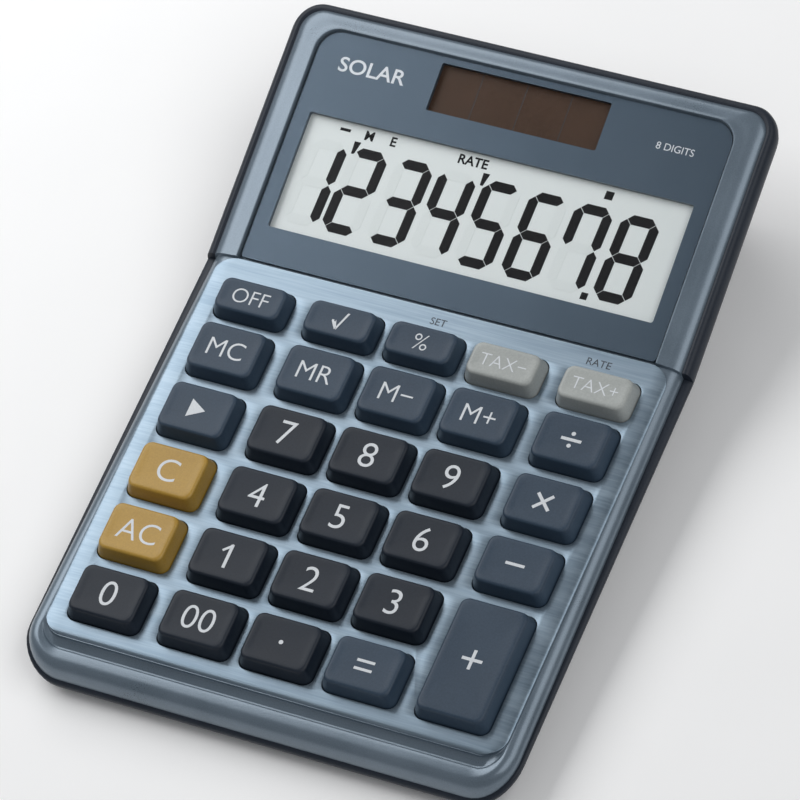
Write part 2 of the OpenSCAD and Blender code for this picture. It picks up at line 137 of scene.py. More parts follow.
def turn(front_half, bend_half, rear_half, front, rear, r0, r1):
    """One turn round the case, with how far each point belongs to the front edge."""
    y0, y1 = front_y + front, rear_y - rear
    share = [0.5 - 0.5 * math.cos(math.pi * i / corner_steps) for i in range(corner_steps + 1)]
    points = ([(bend_half, bend_y - step_run), (bend_half, bend_y)]
              + arc(rear_half - r1, y1 - r1, r1, 0, 90)
              + arc(r1 - rear_half, y1 - r1, r1, 90, 180)
              + [(-bend_half, bend_y), (-bend_half, bend_y - step_run)]
              + arc(r0 - front_half, y0 + r0, r0, 180, 270)
              + arc(front_half - r0, y0 + r0, r0, 270, 360))
    shares = [0] * (2 * corner_steps + 6) + share + share[::-1]
    return list(zip(points, shares))


def split_z(y):
    """Height of the line where the case splits: it follows the top and dips in front."""
    if y < bend_y:
        dip = split_dip * max(0.0, 1 - (y - front_y) / dip_run) ** 2
        return front_z - split_drop + (y - front_y) * math.tan(keypad_tilt) - dip
    return bend_z - split_drop + (y - bend_y) * math.tan(display_tilt)


def split_ring(inset, drop=0.0, rear_inset=None, rear_drop=None):
    """A turn round the case at the split line, moved in and down. Beside and behind
    the display it may be moved by other amounts."""
    if rear_inset is None:
        rear_inset, rear_drop = inset, drop
    half, rear_half = half_w - inset, half_w - rear_inset
    ring = []
    for (x, y), share in turn(half, rear_half, rear_half, inset, rear_inset,
                              front_r - inset, rear_r - rear_inset):
        if y < bend_y - step_run / 2:
            ring.append((max(-half, min(half, x)), y, split_z(y) - drop))
        else:
            ring.append((x, y, split_z(y) - rear_drop))
    return ring


def base_ring(inset, z):
    """A level turn round the base, which narrows towards the rear."""
    front_half = base_front_half - inset
    rear_half = base_rear_half - inset
    bend_half = (front_half + rear_half) / 2
    r = base_r - inset / 2
    return [(x, y, z) for (x, y), share
            in turn(front_half, bend_half, rear_half, base_front_in + inset, base_rear_in + inset,
                    r, r)]


def new_piece(name, build):
    """Makes an object at the origin from a filled bmesh whose places are in metres."""
    mesh = bpy.data.meshes.new(name)
    build.to_mesh(mesh)
    build.free()
    piece = bpy.data.objects.new(name, mesh)
    scene.collection.objects.link(piece)
    return piece


def loft(name, rings):
    """Closed solid through a stack of rings. Each end is closed by level strips, from
    a point on the right to its mirror image on the left."""
    build = bmesh.new()
    rows = [[build.verts.new(Vector(p) * mm) for p in ring] for ring in rings]
    n = len(rings[0])
    left = 2 * corner_steps + 5
    ends = [(i, i + 1, left - i - 1, left - i) for i in range(corner_steps + 2)]
    ends += [(left + i, left + i + 1, n - 1 - i, (n - i) % n) for i in range(corner_steps + 1)]
    for low, high in zip(rows, rows[1:]):
        for i in range(n):
            build.faces.new((low[i], low[(i + 1) % n], high[(i + 1) % n], high[i]))
    for end in ends:
        build.faces.new([rows[-1][i] for i in end])
        build.faces.new([rows[0][i] for i in reversed(end)])
    bmesh.ops.recalc_face_normals(build, faces=build.faces)
    return new_piece(name, build)


def plain(piece, sharp_angle=32):
    """Turns a piece and its modifiers into one plain mesh with smooth rounds."""
    bpy.context.view_layer.update()
    shape = bpy.data.meshes.new_from_object(
        piece.evaluated_get(bpy.context.evaluated_depsgraph_get()))
    piece.modifiers.clear()
    piece.data = shape
    shape.name = piece.name
    for face in shape.polygons:
        face.use_smooth = True
    shape.set_sharp_from_angle(angle=math.radians(sharp_angle))
    return piece


def cut(piece, cutter):
    """Cuts one piece by another, which is then thrown away."""
    knife = piece.modifiers.new("cut", "BOOLEAN")
    knife.operation = "DIFFERENCE"
    knife.solver = "EXACT"
    knife.object = cutter
    plain(piece)
    bpy.data.objects.remove(cutter)


def surface(name, dark, light, rough, grain, depth, stretch=(1, 1, 1), patch=70, **fixed):
    """A finish: colour that drifts between two tones, an uneven gloss and a fine grain.
    grain and patch are how many features there are in a metre, depth is in millimetres."""
    finish = bpy.data.materials.new(name)
    finish.use_nodes = True
    nodes, links = finish.node_tree.nodes, finish.node_tree.links
    shader = nodes["Principled BSDF"]
    for socket, value in fixed.items():
        shader.inputs[socket.replace("_", " ")].default_value = value
    place = nodes.new("ShaderNodeTexCoord")
    stretched = nodes.new("ShaderNodeMapping")
    stretched.inputs["Scale"].default_value = stretch
    links.new(place.outputs["Object"], stretched.inputs["Vector"])
    fine = nodes.new("ShaderNodeTexNoise")
    fine.inputs["Scale"].default_value = grain
    fine.inputs["Detail"].default_value = 3
    broad = nodes.new("ShaderNodeTexNoise")
    broad.inputs["Scale"].default_value = patch
    broad.inputs["Detail"].default_value = 4
    for noise in (fine, broad):
        links.new(stretched.outputs["Vector"], noise.inputs["Vector"])
    blend = nodes.new("ShaderNodeMix")
    blend.data_type = "FLOAT"
    blend.inputs["Factor"].default_value = 0.5
    links.new(fine.outputs["Fac"], blend.inputs["A"])
    links.new(broad.outputs["Fac"], blend.inputs["B"])
    tones = nodes.new("ShaderNodeValToRGB")
    tones.color_ramp.elements[0].position = 0.36
    tones.color_ramp.elements[0].color = (*dark, 1)
    tones.color_ramp.elements[1].position = 0.64
    tones.color_ramp.elements[1].color = (*light, 1)
    links.new(blend.outputs["Result"], tones.inputs["Fac"])
    links.new(tones.outputs["Color"], shader.inputs["Base Color"])
    gloss = nodes.new("ShaderNodeMapRange")
    gloss.inputs["From Min"].default_value = 0.3
    gloss.inputs["From Max"].default_value = 0.7
    gloss.inputs["To Min"].default_value = rough[0]
    gloss.inputs["To Max"].default_value = rough[1]
    links.new(blend.outputs["Result"], gloss.inputs["Value"])
    links.new(gloss.outputs["Result"], shader.inputs["Roughness"])
    relief = nodes.new("ShaderNodeBump")
    relief.inputs["Strength"].default_value = 0.6
    relief.inputs["Distance"].default_value = depth * mm
    links.new(fine.outputs["Fac"], relief.inputs["Height"])
    links.new(relief.outputs["Normal"], shader.inputs["Normal"])
    return finish


def new_tree(name, *sizes):
    """A geometry node tree: places go in with named sizes, and a finished mesh comes out."""
    tree = bpy.data.node_groups.new(name, "GeometryNodeTree")
    sockets = tree.interface
    sockets.new_socket("Places", in_out="INPUT", socket_type="NodeSocketGeometry")
    for size in sizes:
        sockets.new_socket(size, in_out="INPUT", socket_type="NodeSocketFloat")
    sockets.new_socket("Finish", in_out="INPUT", socket_type="NodeSocketMaterial")
    sockets.new_socket("Mesh", in_out="OUTPUT", socket_type="NodeSocketGeometry")
    return tree, tree.nodes.new("NodeGroupInput").outputs


def step(tree, kind, mode=None, **inputs):
    """Adds one node, joins or sets its inputs, and gives back its first output."""
    node = tree.nodes.new(kind)
    if mode:
        node.mode = mode
    for name, value in inputs.items():
        socket = node.inputs[name.replace("_", " ")]
        if isinstance(value, bpy.types.NodeSocket):
            tree.links.new(value, socket)
        else:
            socket.default_value = value
    return node.outputs[0]


def thicken(tree, sheet, height):
    """Turns a flat sheet of faces into a closed solid."""
    raised = step(tree, "GeometryNodeExtrudeMesh", Mesh=sheet, Offset=(0, 0, 1),
                  Offset_Scale=height, Individual=False)
    under = step(tree, "GeometryNodeFlipFaces", Mesh=sheet)
    both = tree.nodes.new("GeometryNodeJoinGeometry")
    tree.links.new(raised, both.inputs[0])
    tree.links.new(under, both.inputs[0])
    return step(tree, "GeometryNodeMergeByDistance", Geometry=both.outputs[0], Distance=0.001)


def close_tree(tree, given, copies):
    """Ends a tree: the copies become real faces and take their finish."""
    real = step(tree, "GeometryNodeRealizeInstances", Geometry=copies)
    made = step(tree, "GeometryNodeSetMaterial", Geometry=real, Material=given["Finish"])
    tree.links.new(made, tree.nodes.new("NodeGroupOutput").inputs["Mesh"])


def grow(name, tree, places, slope, finish=None, **sizes):
    """Runs a tree on its places, in millimetres, and leaves a plain mesh on a slope."""
    piece = new_piece(name, places)
    growth = piece.modifiers.new("growth", "NODES")
    growth.node_group = tree
    for socket in tree.interface.items_tree:
        if socket.name in sizes:
            growth[socket.identifier] = float(sizes[socket.name])
        elif socket.name == "Finish" and finish:
            growth[socket.identifier] = finish
    plain(piece)
    piece.data.transform(slope)
    return piece


def at_points(places):
    """Loose points, in millimetres, that a tree sets copies on."""
    build = bmesh.new()
    for place in places:
        build.verts.new(place)
    return build


# one upright bar with rounded corners on each place, for pockets, openings and lines
bar_tree, given = new_tree("upright_bars", "Width", "Depth", "Corner", "Height")
outline = step(bar_tree, "GeometryNodeCurvePrimitiveQuadrilateral",
               Width=given["Width"], Height=given["Depth"])
outline = step(bar_tree, "GeometryNodeFilletCurve", "POLY", Curve=outline, Count=8,
               Radius=given["Corner"], Limit_Radius=True)
sheet = step(bar_tree, "GeometryNodeFillCurve", "NGONS", Curve=outline)
close_tree(bar_tree, given, step(
    bar_tree, "GeometryNodeInstanceOnPoints", Points=given["Places"],
    Instance=thicken(bar_tree, sheet, given["Height"])))
to_metres = Matrix.Scale(mm, 4)

foot_places = [(-36, -56), (36, -56), (-31, 50), (31, 50)]
foot_pocket_d = 9.2
foot_pocket_h = 1.6
screw_places = [(-34, -66.2), (34, -66.2), (-36, 23), (36, 23), (-32, 59), (32, 59)]
screw_pocket_d = 4.4
screw_pocket_h = 2.6
hair = 0.001
# from the inside floor over the rounded shoulder and down the walls to the base
lower_shell = loft("lower_shell", [
    base_ring(2, 2.8), split_ring(2.5, 0.2, 2.6, 0.2), split_ring(2.35, 0, 2.5, -1.5),
    split_ring(0.6, 0, 1.7, -2.0), split_ring(0.4, 0.02, 1.35, -2.0),
    split_ring(0.28, 0.05, 0.95, -1.85), split_ring(0.15, 0.14, 0.55, -1.5),
    split_ring(0.05, 0.24, 0.2, -0.9), split_ring(0, 0.5, 0, 0), split_ring(0.12, 1.2),
    base_ring(0, 1.9), base_ring(0.25, 1.35), base_ring(0.8, 1.06), base_ring(1.4, 1.0)])
# round pockets are bars whose corners come a hair short of meeting
for name, places, d, h in (("foot_pockets", foot_places, foot_pocket_d, foot_pocket_h),
                           ("screw_pockets", screw_places, screw_pocket_d, screw_pocket_h)):
    cut(lower_shell, grow(name, bar_tree, at_points((x, y, 0) for x, y in places), to_metres,
                          Width=d, Depth=d, Corner=d / 2 - hair, Height=h))
lower_shell.data.materials.append(surface(
    "moulded_navy", (0.010, 0.015, 0.025), (0.018, 0.025, 0.038), (0.38, 0.5), 2600, 0.03,
    Specular_IOR_Level=0.3))
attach(lower_shell, "case")
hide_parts("bottom_case")


# ---------------------------------------------------------------------------
# Upper shell: the same plastic, sprayed silver-blue. Its sides round over to a
# seat for the face plate, a bull nose runs along the front, and a raised rim
# goes round the display, which sits in its own seat.
# ---------------------------------------------------------------------------
plate_t = 0.6
seat_depth = 1.5
rim_edge_h = 0.12
nose_rise = 0.75
nose_end = 75
edge_steps = 10
# where each outer edge starts, in from the widest line, and how wide its roll is
side_roll = (0.7, 2.5)
rim_roll = (1.9, 3.6)
rear_roll = (1.75, 3.1)
nose_roll = (0.7, 3.1)
rim_foot = 0.4
window_corner_r = 4.6


def keypad_z(y, h):
    """Height of a point that stands h over the keypad's slope."""
    return front_z + (y - front_y) * math.tan(keypad_tilt) + h / math.cos(keypad_tilt)


def display_z(y, h):
    """Height of a point that stands h over the display's slope."""
    return bend_z + (y - bend_y) * math.tan(display_tilt) + h / math.cos(display_tilt)


def shell_ring(front, side, rim, rear, r0, r1):
    """One turn of the upper shell. Each of front, side and rim is (inset, height above
    the slope, how far up from the split line), and rear is the rim's inset behind."""
    flat = turn(half_w - side[0], half_w - rim[0], half_w - rim[0], front[0], rear, r0, r1)
    keypad_half = half_w - side[0]
    ring = []
    for (x, y), share in flat:
        if y < bend_y - step_run / 2:
            x = max(-keypad_half, min(keypad_half, x))
            h = side[1] + (front[1] - side[1]) * share
            rise = side[2] + (front[2] - side[2]) * share
            high = keypad_z(y, h)
        else:
            high, rise = display_z(y, rim[1]), rim[2]
        ring.append((x, y, split_z(y) + (high - split_z(y)) * rise))
    return ring


def rolled_in(roll, angle):
    """How far in a roll has come once it has turned by an angle."""
    start, width = roll
    return start + width * (1 - math.cos(angle))


# the underside of the top, then its outer edge, where the nose stops short of level
under_web = [shell_ring((7.6, -2.9, 1), (4.7, -2.2, 1), (3.5, -2.8, 1), 3.5, 4.3, 2.5),
             split_ring(2.7)]
outer_edge = []
for i in range(edge_steps + 1):
    side_angle = math.radians(90 * i / edge_steps)
    nose_angle = math.radians(nose_end * i / edge_steps)
    side_in = rolled_in(side_roll, side_angle)
    outer_edge.append(shell_ring(
        (rolled_in(nose_roll, nose_angle), -plate_t, nose_rise * math.sin(nose_angle)),
        (side_in, -plate_t, math.sin(side_angle)),
        (rolled_in(rim_roll, side_angle), rim_edge_h,
         rim_foot + (1 - rim_foot) * math.sin(side_angle)),
        rolled_in(rear_roll, side_angle), front_r - side_in, window_corner_r - 0.01 * i))
# the nose, the step down to the plate, the crest of the rim and the window's seat; each
# row: front inset and height, side inset, rim inset and height, rear inset, corners
seats = [shell_ring((front, front_h, 1), (side, -plate_t, 1), (rim, h, 1), rear, r0, r1)
         for front, front_h, side, rim, h, rear, r0, r1 in (
             (3.9, -1.48, 3.24, 5.9, 0.20, 5.05, 5.6, 4.5),
             (4.4, -1.46, 3.27, 6.2, 0.27, 5.2, 5.5, 4.52),
             (4.85, -1.58, 3.30, 6.6, 0.35, 5.35, 5.4, 4.54),
             (5.1, -1.84, 3.34, 6.95, 0.41, 5.48, 5.3, 4.56),
             (5.3, -2.1, 3.38, 7.12, 0.39, 5.56, 5.1, 4.58),
             (5.6, -2.14, 3.42, 7.22, 0.28, 5.6, 5.0, 4.6),
             (6.9, -1.5, 3.46, 7.27, 0.05, 5.62, 4.8, 4.62),
             (7.1, -1.2, 3.50, 7.28, -0.6, 5.63, 4.7, 4.64),
             (7.12, -plate_t, 3.55, 7.3, -seat_depth, 5.65, 4.65, 4.65))]
upper_shell = loft("upper_shell", under_web + outer_edge + seats)


def rounded(w, d, r, steps=8):
    """Corner points of a rounded rectangle round the origin."""
    points = []
    for quarter, (sx, sy) in enumerate(((1, 1), (-1, 1), (-1, -1), (1, -1))):
        for i in range(steps + 1):
            a = math.radians(90 * (quarter + i / steps))
            points.append((sx * (w / 2 - r) + r * math.cos(a), sy * (d / 2 - r) + r * math.sin(a)))
    return points


on_keypad = (to_metres @ Matrix.Translation((0, front_y, front_z))
             @ Matrix.Rotation(keypad_tilt, 4, "X"))
on_display = (to_metres @ Matrix.Translation((0, bend_y, bend_z))
              @ Matrix.Rotation(display_tilt, 4, "X"))


def place_of(node, slope):
    """Lowest and highest corner of a node, measured on a slope in millimetres."""
    back = slope.inverted()
    points = [back @ v.co for v in frame["nodes"][node].data.vertices]
    return (Vector(min(p[i] for p in points) for i in range(3)),
            Vector(max(p[i] for p in points) for i in range(3)))


key_names = [name for name in frame["nodes"] if name.startswith("key_")]
flange_w = 1.4
flange_d = 1.7
hole_gap = 0.2


def key_place(name):
    """Centre, size at the foot and height of a key, on the keypad's slope."""
    low, high = place_of(name, on_keypad)
    return ((low.x + high.x) / 2, (low.y + high.y) / 2,
            high.x - low.x - flange_w, high.y - low.y - flange_d, high.z, low.z)


keys = {name: key_place(name) for name in key_names}
key_openings = [(x, s, w + 2 * hole_gap, d + 2 * hole_gap)
                for x, s, w, d, top, foot in keys.values()]
opening_r = 2
web_reach = 5
seat_reach = 6
glass_low, glass_high = place_of("lcd_glass", on_display)
solar_low, solar_high = place_of("solar_cell", on_display)
opening_gap = 0.6

# openings of one size are cut together
for w, d in sorted({(round(w, 3), round(d, 3)) for x, s, w, d in key_openings}):
    same_size = [(x, s, -web_reach) for x, s, kw, kd in key_openings
                 if abs(kw - w) + abs(kd - d) < 0.01]
    cut(upper_shell, grow("key_openings", bar_tree, at_points(same_size), on_keypad,
                          Width=w, Depth=d, Corner=opening_r, Height=web_reach))
for low, high in ((glass_low, glass_high), (solar_low, solar_high)):
    cut(upper_shell, grow(
        "display_opening", bar_tree,
        at_points([((low.x + high.x) / 2, (low.y + high.y) / 2, -seat_reach)]), on_display,
        Width=high.x - low.x + opening_gap, Depth=high.y - low.y + opening_gap, Corner=0.5,
        Height=seat_reach))
upper_shell.data.materials.append(surface(
    "silver_blue_paint", (0.115, 0.155, 0.195), (0.165, 0.213, 0.262), (0.26, 0.36), 5200, 0.008,
    Metallic=0.4, Coat_Weight=0.35, Coat_Roughness=0.2))
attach(upper_shell, "case")
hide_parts("top_case")


# ---------------------------------------------------------------------------
# Inside and underneath, kept as designed: board, rubber sheet, cell and clip,
# chip, capacitor, ribbon, leads, screws and feet, each in its own material.
# ---------------------------------------------------------------------------
kept = {
    "rubber_feet": surface("foot_rubber", (0.008, 0.008, 0.009), (0.017, 0.017, 0.018),
                           (0.7, 0.9), 1800, 0.05),
    "case_screws": surface("zinc_steel", (0.28, 0.28, 0.29), (0.42, 0.41, 0.4),
                           (0.25, 0.42), 2400, 0.01, Metallic=1.0),
    "rubber_keypad": surface("silicone", (0.36, 0.37, 0.38), (0.45, 0.46, 0.47),
                             (0.5, 0.65), 1500, 0.02),
    "main_board": surface("solder_mask", (0.01, 0.09, 0.035), (0.018, 0.13, 0.05),
                          (0.3, 0.45), 900, 0.02),
    "chip_cover": surface("black_epoxy", (0.006, 0.006, 0.007), (0.014, 0.014, 0.015),
                          (0.15, 0.3), 700, 0.05),
    "capacitor": surface("capacitor_sleeve", (0.02, 0.025, 0.06), (0.03, 0.035, 0.08),
                         (0.3, 0.4), 1200, 0.01),
    "battery": surface("cell_steel", (0.5, 0.5, 0.5), (0.65, 0.65, 0.64),
                       (0.2, 0.35), 3000, 0.005, Metallic=1.0),
    "battery_clip": surface("spring_steel", (0.4, 0.4, 0.4), (0.55, 0.55, 0.54),
                            (0.25, 0.4), 3000, 0.005, Metallic=1.0),
    "lcd_reflector": surface("reflector_foil", (0.6, 0.62, 0.6), (0.7, 0.72, 0.7),
                             (0.3, 0.4), 3000, 0.005),
    "lcd_holder": surface("holder_plastic", (0.5, 0.5, 0.48), (0.58, 0.58, 0.56),
                          (0.4, 0.55), 2000, 0.02),
    "lcd_ribbon": surface("ribbon_film", (0.35, 0.13, 0.02), (0.45, 0.18, 0.03),
                          (0.25, 0.4), 1500, 0.005),
    "solar_leads": surface("wire_sleeve", (0.3, 0.02, 0.02), (0.4, 0.03, 0.03),
                           (0.35, 0.5), 1500, 0.01),
}
for node, finish in kept.items():
    mesh = frame["nodes"][node].data
    mesh.materials.clear()
    mesh.materials.append(finish)


# ---------------------------------------------------------------------------
# Liquid crystal glass: two panes with a pale grey-green film between them. The
# lit segments are nearly black and lean to the right; the unlit ones show as a
# faint tint. A row of small marks runs above the digits.
# ---------------------------------------------------------------------------
def solid(outline, slope, low, high, build):
    """Adds an upright solid with an outline in millimetres."""
    n = len(outline)
    under, over = ([build.verts.new(slope @ Vector((x, y, h))) for x, y in outline]
                   for h in (low, high))
    build.faces.new(over)
    build.faces.new(under[::-1])
    for i in range(n):
        build.faces.new((under[i], under[(i + 1) % n], over[(i + 1) % n], over[i]))


def pane(low, high):
    """A flat pane in the place of a node, its corners just broken."""
    mid = (low.y + high.y) / 2
    build = bmesh.new()
    solid([(x, mid + y) for x, y in rounded(high.x - low.x, high.y - low.y, 0.2, 2)], on_display,
          low.z, high.z, build)
    return build


lcd_glass = plain(new_piece("lcd_panel", pane(glass_low, glass_high)))
lcd_glass.data.materials.append(surface(
    "lcd_film", (0.77, 0.81, 0.79), (0.81, 0.85, 0.83), (0.3, 0.36), 4000, 0.002, patch=25))
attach(lcd_glass, "case")
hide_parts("lcd_glass")

digit_w = 8.0
digit_h = 18.0
digit_foot = 9.9
digit_lean = math.tan(math.radians(3))
segment_t = 2.0
segment_gap = 0.08
lit_h = 0.04
digit_starts = [-39.9, -31.2, -21.4, -12.1, -2.6, 7.3, 16.9, 26.7]
digit_shapes = {"1": "bc", "2": "abged", "3": "abgcd", "4": "fgbc", "5": "afgcd",
                "6": "afgedc", "7": "fabc", "8": "abcdefg"}
shown = "12345678"
glass_top = glass_high.z


def segment_line(build, name, start):
    """Adds the middle line of one of a digit's seven bars, full in the middle, bare at its ends."""
    t, w, h = segment_t, digit_w, digit_h
    left, right, low, mid, high = t / 2, w - t / 2, t / 2, h / 2, h - t / 2
    ends = {"a": (left, high, right, high), "g": (left, mid, right, mid),
            "d": (left, low, right, low), "f": (left, mid, left, high),
            "b": (right, mid, right, high), "e": (left, low, left, mid),
            "c": (right, low, right, mid)}
    x0, y0, x1, y1 = ends[name]
    a, b = Vector((start + x0, digit_foot + y0, 0)), Vector((start + x1, digit_foot + y1, 0))
    along = (b - a).normalized()
    fullness = build.verts.layers.float["fullness"]
    line = []
    for point, full in ((a + along * segment_gap, 0), (a + along * (segment_gap + t / 2), 1),
                        (b - along * (segment_gap + t / 2), 1), (b - along * segment_gap, 0)):
        line.append(build.verts.new(point))
        line[-1][fullness] = full
    for one, other in zip(line, line[1:]):
        build.edges.new((one, other))


# bars that follow their middle lines, as wide as each point is full
segment_tree, given = new_tree("display_segments", "Left", "Right", "Height")
line = step(segment_tree, "GeometryNodeMeshToCurve", Mesh=given["Places"])
full = step(segment_tree, "GeometryNodeInputNamedAttribute", Name="fullness")
line = step(segment_tree, "GeometryNodeSetCurveRadius", Curve=line, Radius=full)
line = step(segment_tree, "GeometryNodeSetCurveNormal", "Z_UP", Curve=line)
across = step(segment_tree, "GeometryNodeCurvePrimitiveLine",
              Start=step(segment_tree, "ShaderNodeCombineXYZ", X=given["Left"]),
              End=step(segment_tree, "ShaderNodeCombineXYZ", X=given["Right"]))
band = step(segment_tree, "GeometryNodeCurveToMesh", Curve=line, Profile_Curve=across,
            Scale=full)
band = step(segment_tree, "GeometryNodeMergeByDistance", Geometry=band, Distance=0.001)
close_tree(segment_tree, given, thicken(segment_tree, band, given["Height"]))

lcd_black = surface("lcd_black", (0.003, 0.003, 0.004), (0.006, 0.006, 0.007), (0.35, 0.45), 3000,
                    0.002, Specular_IOR_Level=0.15)
lcd_faint = surface("lcd_faint", (0.74, 0.78, 0.76), (0.78, 0.82, 0.80), (0.32, 0.38), 4000,
                    0.002, patch=25)
shear = Matrix.Identity(4)
shear[0][1] = digit_lean
shear[0][3] = -digit_foot * digit_lean
for name, finish, wanted in (("lcd_digits", lcd_black, True), ("lcd_unlit", lcd_faint, False)):
    build = bmesh.new()
    build.verts.layers.float.new("fullness")
    for start, digit in zip(digit_starts, shown):
        for bar in "abcdefg":
            if (bar in digit_shapes[digit]) == wanted:
                segment_line(build, bar, start)
    digits = grow(name, segment_tree, build, on_display @ shear @ Matrix.Translation((0, 0, glass_top)),
                  finish, Left=-segment_t / 2, Right=segment_t / 2, Height=lit_h)
    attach(digits, "case")


def slanted_box(x, y, w, h):
    """Outline of a small mark that leans as the digits do."""
    lean = h * digit_lean
    return [(x, y), (x + w, y), (x + w + lean, y + h), (x + lean, y + h)]


# the point, the minus and the square dot, then the two ticks that part the thousands
build = bmesh.new()
point_x = digit_starts[6] + digit_w - 0.1
marks = [slanted_box(point_x, digit_foot - 0.7, 1.4, 1.4),
         slanted_box(-34.2, 30.4, 2.2, 0.6), slanted_box(22.6, 29.6, 1.7, 1.7)]
for i in (0, 3):
    x = digit_starts[i] + digit_w + 1.5
    marks.append([(x + 0.1, 26.3), (x + 0.7, 26.3), (x + 1.4, 28.9), (x, 28.9)])
for mark in marks:
    solid(mark, on_display, glass_top, glass_top + lit_h, build)
lcd_marks = plain(new_piece("lcd_marks", build))
lcd_marks.data.materials.append(lcd_black)
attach(lcd_marks, "case")


# ---------------------------------------------------------------------------
# Solar cell: dark brown amorphous silicon on glass, in four strips with thin
# lines between them, under the same window as the display.
# ---------------------------------------------------------------------------
solar_panel = plain(new_piece("solar_panel", pane(solar_low, solar_high)))
solar_panel.data.materials.append(surface(
    "silicon_brown", (0.052, 0.024, 0.011), (0.066, 0.032, 0.016), (0.35, 0.45), 1200, 0.0005,
    patch=120, Specular_IOR_Level=0.2))
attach(solar_panel, "case")
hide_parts("solar_cell")

strips = 4
solar_w = solar_high.x - solar_low.x
solar_d = solar_high.y - solar_low.y
solar_mid = (solar_low.y + solar_high.y) / 2
silicon_line = surface("silicon_line", (0.012, 0.006, 0.005), (0.02, 0.01, 0.008), (0.3, 0.4),
                       2500, 0.002)
solar_lines = grow(
    "solar_lines", bar_tree,
    at_points((solar_low.x + solar_w * i / strips, solar_mid, solar_high.z)
              for i in range(1, strips)),
    on_display, silicon_line, Width=0.22, Depth=solar_d - 1, Corner=0.02, Height=0.02)
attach(solar_lines, "case")


# ---------------------------------------------------------------------------
# Display window: a clear acrylic sheet, printed slate-blue on its back except
# over the glass and the solar cell. It drops into its seat in the upper shell.
# ---------------------------------------------------------------------------
window_low, window_high = place_of("display_window", on_display)
window_w = window_high.x - window_low.x
window_d = window_high.y - window_low.y
window_mid = (window_low.y + window_high.y) / 2
window_r = 4.5
window_front_r = 0.8
lens_t = 0.5
view_low, view_high = (-41.0, 7.7), (41.0, 32.3)
cell_low, cell_high = (-18.1, 38.1), (18.1, 48.2)


def window_outline(inset=0.0, steps=8):
    """Edge of the window: round corners at the back and nearly square ones in front."""
    points = []
    for (sx, sy), r, start in (((1, 1), window_r, 0), ((-1, 1), window_r, 90),
                               ((-1, -1), window_front_r, 180), ((1, -1), window_front_r, 270)):
        r = r - inset / 2
        for i in range(steps + 1):
            a = math.radians(start + 90 * i / steps)
            points.append((sx * (window_w / 2 - inset - r) + r * math.cos(a),
                           window_mid + sy * (window_d / 2 - inset - r) + r * math.sin(a)))
    return points


def flat_sheet(name, outlines, slope, low, high, edge=0.0):
    """A sheet with openings. The first outline is its edge and the others are holes."""
    curve = bpy.data.curves.new(name, "CURVE")
    curve.dimensions = "2D"
    curve.fill_mode = "BOTH"
    curve.extrude = (high - low) / 2 - edge
    curve.bevel_depth = edge
    curve.bevel_resolution = 2
    curve.offset = -edge
    for outline in outlines:
        spline = curve.splines.new("POLY")
        spline.points.add(len(outline) - 1)
        for point, (x, y) in zip(spline.points, outline):
            point.co = (x, y, 0, 1)
        spline.use_cyclic_u = True
    source = bpy.data.objects.new(name, curve)
    scene.collection.objects.link(source)
    bpy.context.view_layer.update()
    mesh = bpy.data.meshes.new_from_object(
        source.evaluated_get(bpy.context.evaluated_depsgraph_get()))
    bpy.data.objects.remove(source)
    bpy.data.curves.remove(curve)
    build = bmesh.new()
    build.from_mesh(mesh)
    bpy.data.meshes.remove(mesh)
    bmesh.ops.remove_doubles(build, verts=build.verts, dist=0.001)
    bmesh.ops.translate(build, verts=build.verts, vec=(0, 0, (low + high) / 2))
    bmesh.ops.transform(build, matrix=slope, verts=build.verts)
    bmesh.ops.recalc_face_normals(build, faces=build.faces)
    return plain(new_piece(name, build))


def box_outline(low, high, r):
    """Outline of a rounded opening between two corners."""
    x, y = (low[0] + high[0]) / 2, (low[1] + high[1]) / 2
    return [(x + px, y + py) for px, py in rounded(high[0] - low[0], high[1] - low[1], r, 4)]


print_inset = 0.05
window_print = flat_sheet("window_print", [
    window_outline(print_inset), box_outline(view_low, view_high, 0.5),
    box_outline(cell_low, cell_high, 0.4)], on_display, -seat_depth, -lens_t)
window_print.data.materials.append(surface(
    "slate_print", (0.055, 0.084, 0.116), (0.068, 0.100, 0.136), (0.26, 0.34), 6000, 0.002, patch=30,
    Metallic=0.45))
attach(window_print, "case")

window_lens = flat_sheet("window_lens", [window_outline()], on_display, -lens_t + 0.01, 0, 0.12)
clear = bpy.data.materials.new("clear_acrylic")
clear.use_nodes = True
nodes, links = clear.node_tree.nodes, clear.node_tree.links
nodes.remove(nodes["Principled BSDF"])
through = nodes.new("ShaderNodeBsdfTransparent")
through.inputs["Color"].default_value = (0.985, 0.99, 0.995, 1)
shine = nodes.new("ShaderNodeBsdfGlossy")
shine.inputs["Roughness"].default_value = 0.12
fresnel = nodes.new("ShaderNodeFresnel")
fresnel.inputs["IOR"].default_value = 1.08
both = nodes.new("ShaderNodeMixShader")
links.new(fresnel.outputs["Fac"], both.inputs["Fac"])
links.new(through.outputs["BSDF"], both.inputs[1])
links.new(shine.outputs["BSDF"], both.inputs[2])
links.new(both.outputs["Shader"], nodes["Material Output"].inputs["Surface"])
window_lens.data.materials.append(clear)
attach(window_lens, "case")
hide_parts("display_window")


